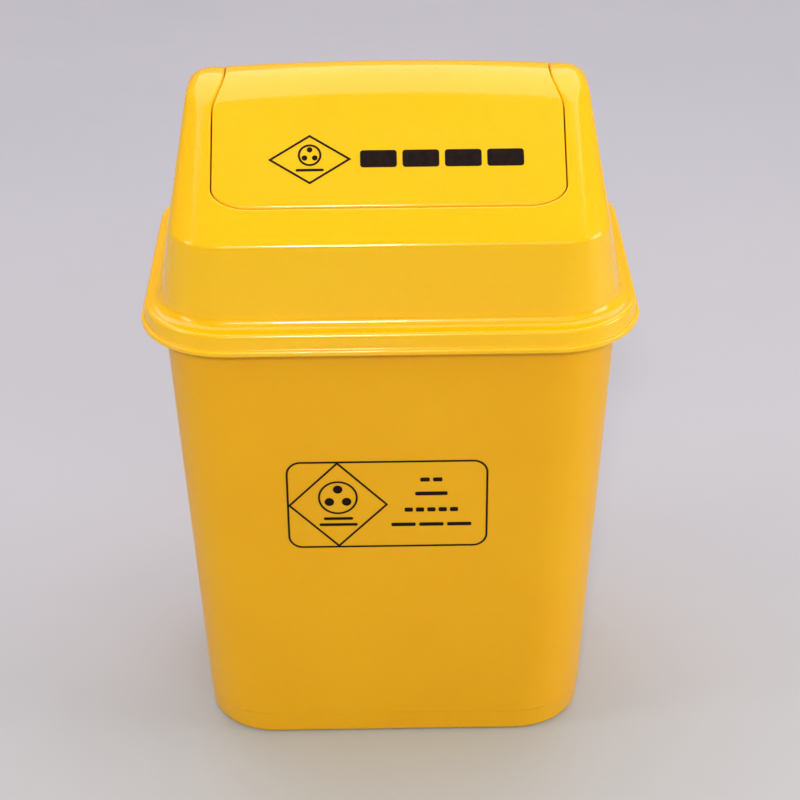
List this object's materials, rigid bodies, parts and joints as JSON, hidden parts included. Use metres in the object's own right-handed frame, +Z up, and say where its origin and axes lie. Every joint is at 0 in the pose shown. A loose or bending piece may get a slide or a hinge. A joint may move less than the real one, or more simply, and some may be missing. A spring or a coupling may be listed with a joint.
{
  "type": "swing-top waste bin",
  "caption": "Tapered rectangular waste bin with a lift-off hood and a saddle-shaped flap that swings both ways on pins under the crest.",
  "frame": {"origin": "centre of the flat underside that the bin stands on", "axes": "+Z up, -Y towards the printed front, +X to the viewer's right when facing the front"},
  "size_m": [0.33, 0.2456, 0.4786],
  "materials": {
    "bucket_plastic": "satin moulded polypropylene, slightly deeper yellow than the hood",
    "hood_plastic": "glossy moulded polypropylene",
    "flap_plastic": "glossy moulded polypropylene",
    "print_ink": "screen-printed black ink",
    "pin_plastic": "natural acetal"
  },
  "bodies": {
    "bucket_body": {"bucket": "bucket_plastic", "bucket_print": "print_ink"},
    "hood_body": {"hood": "hood_plastic"},
    "flap_body": {"flap": "flap_plastic", "flap_print": "print_ink", "pivot_pin_left": "pin_plastic", "pivot_pin_right": "pin_plastic"}
  },
  "joints": [
    {"name": "hood_lift", "type": "slide", "parent": "bucket_body", "child": "hood_body", "axis": [0, 0, 1], "range_m": [0, 0.1]},
    {"name": "flap_swing", "type": "hinge", "parent": "hood_body", "child": "flap_body", "pos_m": [0, 0, 0.4542], "axis": [1, 0, 0], "range_deg": [-60, 60]}
  ]
}
